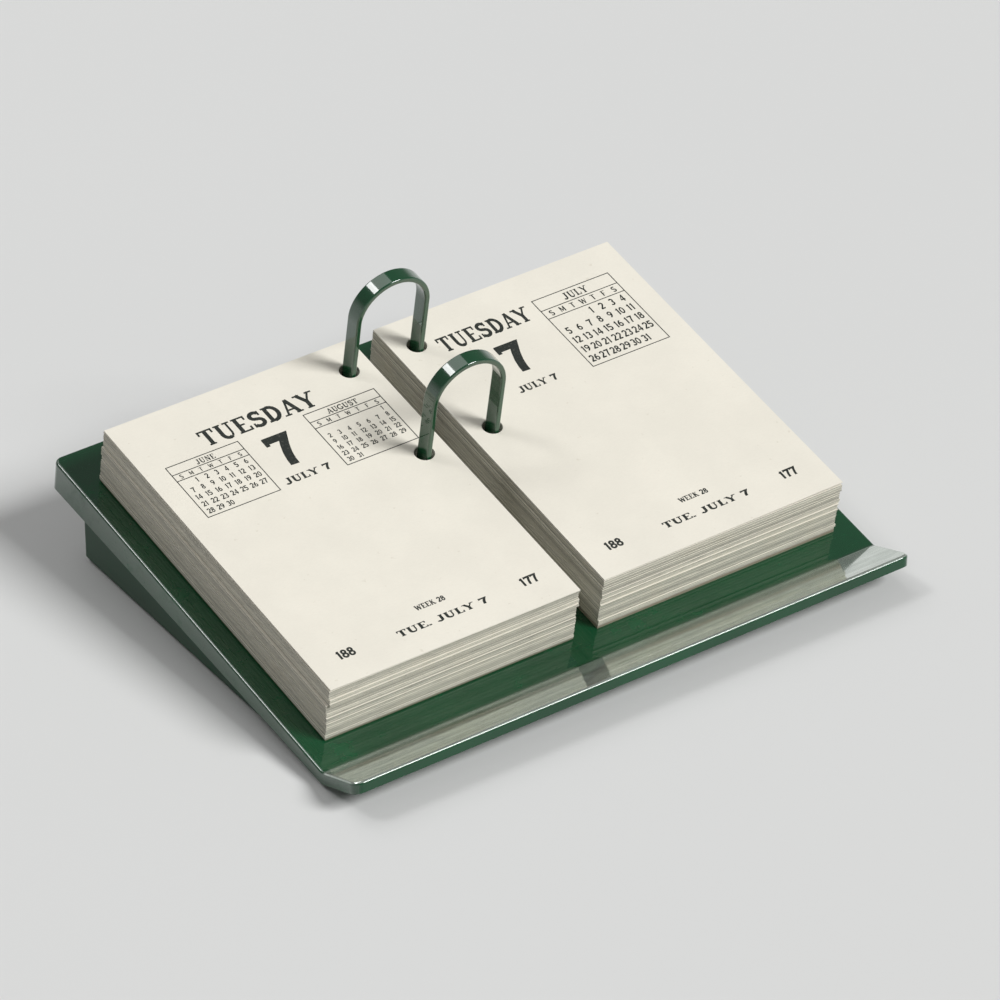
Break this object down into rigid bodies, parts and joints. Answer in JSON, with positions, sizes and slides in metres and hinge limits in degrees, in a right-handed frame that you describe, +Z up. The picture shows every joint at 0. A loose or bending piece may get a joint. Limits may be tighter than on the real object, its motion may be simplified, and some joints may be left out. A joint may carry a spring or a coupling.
{
  "type": "desk calendar",
  "caption": "Two-pad loose-leaf desk calendar on a sloping enamelled steel base with pen lip, two lift-off leaf arches and a shallow drawer at the back.",
  "frame": {"origin": "under the middle of the whole object, on the desk top", "axes": "+X to the right and along the pen lip, +Y to the back, +Z up"},
  "size_m": [0.2026, 0.1692, 0.081],
  "materials": {
    "green_enamel": "gloss stoved enamel",
    "stand_enamel": "satin stoved enamel",
    "zinc_steel": "zinc plated",
    "spring_steel": "blued spring wire",
    "leaf_paper": "uncoated bond",
    "pulp_board": "grey pulp board",
    "foot_rubber": "matt moulded rubber",
    "knob_metal": "turned and polished",
    "felt": "wool felt"
  },
  "bodies": {
    "base": {"base_plate": "green_enamel", "arch_socket_back": "zinc_steel", "arch_socket_front": "zinc_steel", "arch_spring_back": "spring_steel", "arch_spring_front": "spring_steel", "socket_rivets": "zinc_steel", "stand_rivets": "zinc_steel", "backing_board_left": "pulp_board", "backing_board_right": "pulp_board", "leaf_pad_left": "leaf_paper", "leaf_pad_right": "leaf_paper", "stand_frame": "stand_enamel", "bottom_plate": "stand_enamel", "bottom_screws": "zinc_steel", "rubber_foot_front_left": "foot_rubber", "rubber_foot_front_right": "foot_rubber", "rubber_foot_rear_left": "foot_rubber", "rubber_foot_rear_right": "foot_rubber", "drawer_runner_left": "zinc_steel", "drawer_runner_right": "zinc_steel"},
    "arch_back_body": {"arch_back": "green_enamel"},
    "arch_front_body": {"arch_front": "green_enamel"},
    "top_leaf_left_body": {"top_leaf_left": "leaf_paper"},
    "top_leaf_right_body": {"top_leaf_right": "leaf_paper"},
    "drawer": {"drawer_tray": "stand_enamel", "drawer_front": "green_enamel", "drawer_knob": "knob_metal", "drawer_knob_screw": "zinc_steel", "drawer_liner": "felt"}
  },
  "joints": [
    {"name": "arch_back_lift", "type": "slide", "parent": "base", "child": "arch_back_body", "axis": [0, -0.1736, 0.9848], "range_m": [0, 0.045], "deforming": ["arch_spring_back"]},
    {"name": "arch_front_lift", "type": "slide", "parent": "base", "child": "arch_front_body", "axis": [0, -0.1736, 0.9848], "range_m": [0, 0.045], "deforming": ["arch_spring_front"]},
    {"name": "top_leaf_left_turn", "type": "hinge", "parent": "base", "child": "top_leaf_left_body", "pos_m": [-0.0044, 0.00248, 0.03806], "axis": [0, 0.9848, 0.1736], "range_deg": [0, 20]},
    {"name": "top_leaf_right_turn", "type": "hinge", "parent": "base", "child": "top_leaf_right_body", "pos_m": [0.0044, 0.00248, 0.03806], "axis": [0, -0.9848, -0.1736], "range_deg": [0, 20]},
    {"name": "drawer_slide", "type": "slide", "parent": "base", "child": "drawer", "axis": [0, 1, 0], "range_m": [0, 0.038]}
  ]
}
